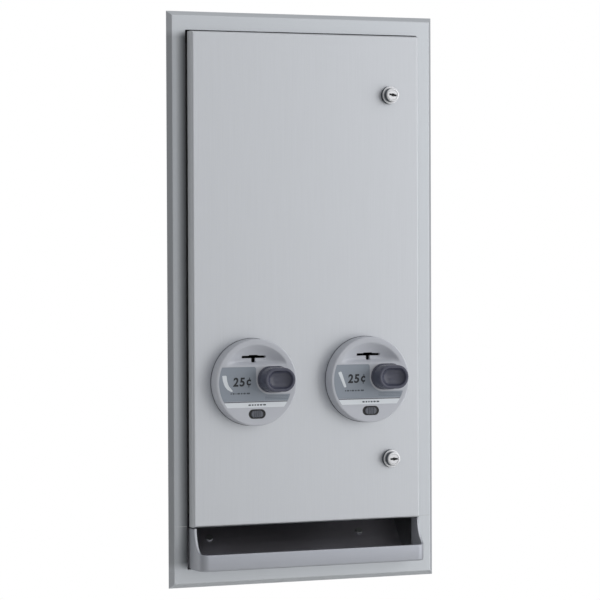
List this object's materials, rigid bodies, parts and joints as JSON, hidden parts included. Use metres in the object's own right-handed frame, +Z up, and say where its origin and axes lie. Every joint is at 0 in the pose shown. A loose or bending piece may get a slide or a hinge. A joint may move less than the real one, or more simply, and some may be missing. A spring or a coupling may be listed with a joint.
{
  "type": "sanitary napkin vending machine",
  "caption": "Recessed washroom vending cabinet: flanged steel box, hinged locked door, coin discs with turn knobs, product rotors inside and a delivery tray below.",
  "frame": {"origin": "centre of the wall plane: midway across and up the flange, where its back rim meets the wall", "axes": "+X to the right seen from the front, +Y into the wall, +Z up"},
  "size_m": [0.4, 0.222, 0.787],
  "materials": {
    "satin_stainless": "satin stainless, fine vertical grain",
    "cabinet_stainless": "mill-finished stainless",
    "tray_steel": "satin stainless",
    "chute_steel": "dull stainless",
    "disc_moulding": "silver-grey moulding, fine texture",
    "label_film": "blue-grey printed film",
    "knob_plastic": "dark grey, satin",
    "button_plastic": "dark grey, satin",
    "lock_chrome": "polished",
    "zinc_steel": "bright zinc plate",
    "mech_plastic": "black, moulded",
    "rotor_plastic": "white acetal, moulded",
    "weight_iron": "painted casting",
    "coin_brass": "machined",
    "spring_steel": "bright drawn wire"
  },
  "bodies": {
    "cabinet": {"cabinet_left_side": "cabinet_stainless", "cabinet_right_side": "cabinet_stainless", "cabinet_back": "cabinet_stainless", "cabinet_top": "cabinet_stainless", "cabinet_bottom": "cabinet_stainless", "wall_flange": "satin_stainless", "hinge_leaf_cabinet": "cabinet_stainless", "hinge_pin": "zinc_steel", "lock_strikes": "zinc_steel", "tray_apron": "tray_steel", "delivery_chute": "chute_steel", "chute_support": "cabinet_stainless", "chute_screws": "zinc_steel", "napkin_column": "cabinet_stainless", "tampon_column": "cabinet_stainless", "napkin_rotor_housing": "mech_plastic", "tampon_rotor_housing": "mech_plastic"},
    "napkin_rotor": {"napkin_rotor_drum": "rotor_plastic", "napkin_rotor_shaft": "zinc_steel", "napkin_drive_cup": "rotor_plastic"},
    "tampon_rotor": {"tampon_rotor_drum": "rotor_plastic", "tampon_rotor_shaft": "zinc_steel", "tampon_drive_cup": "rotor_plastic"},
    "napkin_weight": {"napkin_follower": "weight_iron"},
    "tampon_weight": {"tampon_follower": "weight_iron"},
    "door": {"door_panel": "satin_stainless", "hinge_leaf_door": "cabinet_stainless", "door_stiffener": "cabinet_stainless", "mech_screws": "zinc_steel", "lock_nuts": "zinc_steel", "coin_bezel_left": "disc_moulding", "price_label_left": "label_film", "mech_housing_left": "mech_plastic", "mech_cover_left": "mech_plastic", "coin_box_bracket_left": "cabinet_stainless", "coin_bezel_right": "disc_moulding", "price_label_right": "label_film", "mech_housing_right": "mech_plastic", "mech_cover_right": "mech_plastic", "coin_box_bracket_right": "cabinet_stainless", "lock_body_upper": "lock_chrome", "lock_body_lower": "lock_chrome"},
    "knob_left": {"knob_left": "knob_plastic", "knob_shaft_left": "zinc_steel", "coin_wheel_left": "coin_brass"},
    "button_left": {"return_button_left": "button_plastic", "return_spring_left": "spring_steel"},
    "coin_box_left": {"coin_box_left": "cabinet_stainless"},
    "knob_right": {"knob_right": "knob_plastic", "knob_shaft_right": "zinc_steel", "coin_wheel_right": "coin_brass"},
    "button_right": {"return_button_right": "button_plastic", "return_spring_right": "spring_steel"},
    "coin_box_right": {"coin_box_right": "cabinet_stainless"},
    "lock_upper": {"lock_plug_upper": "lock_chrome", "lock_cam_upper": "zinc_steel"},
    "lock_lower": {"lock_plug_lower": "lock_chrome", "lock_cam_lower": "zinc_steel"}
  },
  "joints": [
    {"name": "door_swing", "type": "hinge", "parent": "cabinet", "child": "door", "pos_m": [-0.168, -0.0108, 0], "axis": [0, 0, -1], "range_deg": [0, 90]},
    {"name": "lock_upper_turn", "type": "hinge", "parent": "door", "child": "lock_upper", "pos_m": [0.124, 0, 0.2828], "axis": [0, -1, 0], "range_deg": [0, 90]},
    {"name": "lock_lower_turn", "type": "hinge", "parent": "door", "child": "lock_lower", "pos_m": [0.124, 0, -0.225], "axis": [0, -1, 0], "range_deg": [0, 90]},
    {"name": "knob_left_turn", "type": "hinge", "parent": "door", "child": "knob_left", "pos_m": [-0.062, 0, -0.1087], "axis": [0, 1, 0], "continuous": true},
    {"name": "return_button_left_press", "type": "slide", "parent": "door", "child": "button_left", "axis": [0, 1, 0], "range_m": [0, 0.0035], "stiffness_N_per_m": 400, "springref_m": -0.001, "deforming": ["return_spring_left"]},
    {"name": "coin_box_left_lift", "type": "slide", "parent": "door", "child": "coin_box_left", "axis": [0, 0, 1], "range_m": [0, 0.018]},
    {"name": "knob_right_turn", "type": "hinge", "parent": "door", "child": "knob_right", "pos_m": [0.109, 0, -0.1087], "axis": [0, 1, 0], "continuous": true},
    {"name": "return_button_right_press", "type": "slide", "parent": "door", "child": "button_right", "axis": [0, 1, 0], "range_m": [0, 0.0035], "stiffness_N_per_m": 400, "springref_m": -0.001, "deforming": ["return_spring_right"]},
    {"name": "coin_box_right_lift", "type": "slide", "parent": "door", "child": "coin_box_right", "axis": [0, 0, 1], "range_m": [0, 0.018]},
    {"name": "napkin_rotor_turn", "type": "hinge", "parent": "cabinet", "child": "napkin_rotor", "pos_m": [-0.062, 0, -0.1087], "axis": [0, 1, 0], "continuous": true},
    {"name": "tampon_rotor_turn", "type": "hinge", "parent": "cabinet", "child": "tampon_rotor", "pos_m": [0.109, 0, -0.1087], "axis": [0, 1, 0], "continuous": true},
    {"name": "napkin_follower_slide", "type": "slide", "parent": "cabinet", "child": "napkin_weight", "axis": [0, 0, 1], "range_m": [0, 0.35]},
    {"name": "tampon_follower_slide", "type": "slide", "parent": "cabinet", "child": "tampon_weight", "axis": [0, 0, 1], "range_m": [0, 0.385]}
  ],
  "couplings": [
    {"joint": "napkin_rotor_turn", "follows": "knob_left_turn", "ratio": 1},
    {"joint": "tampon_rotor_turn", "follows": "knob_right_turn", "ratio": 1}
  ]
}
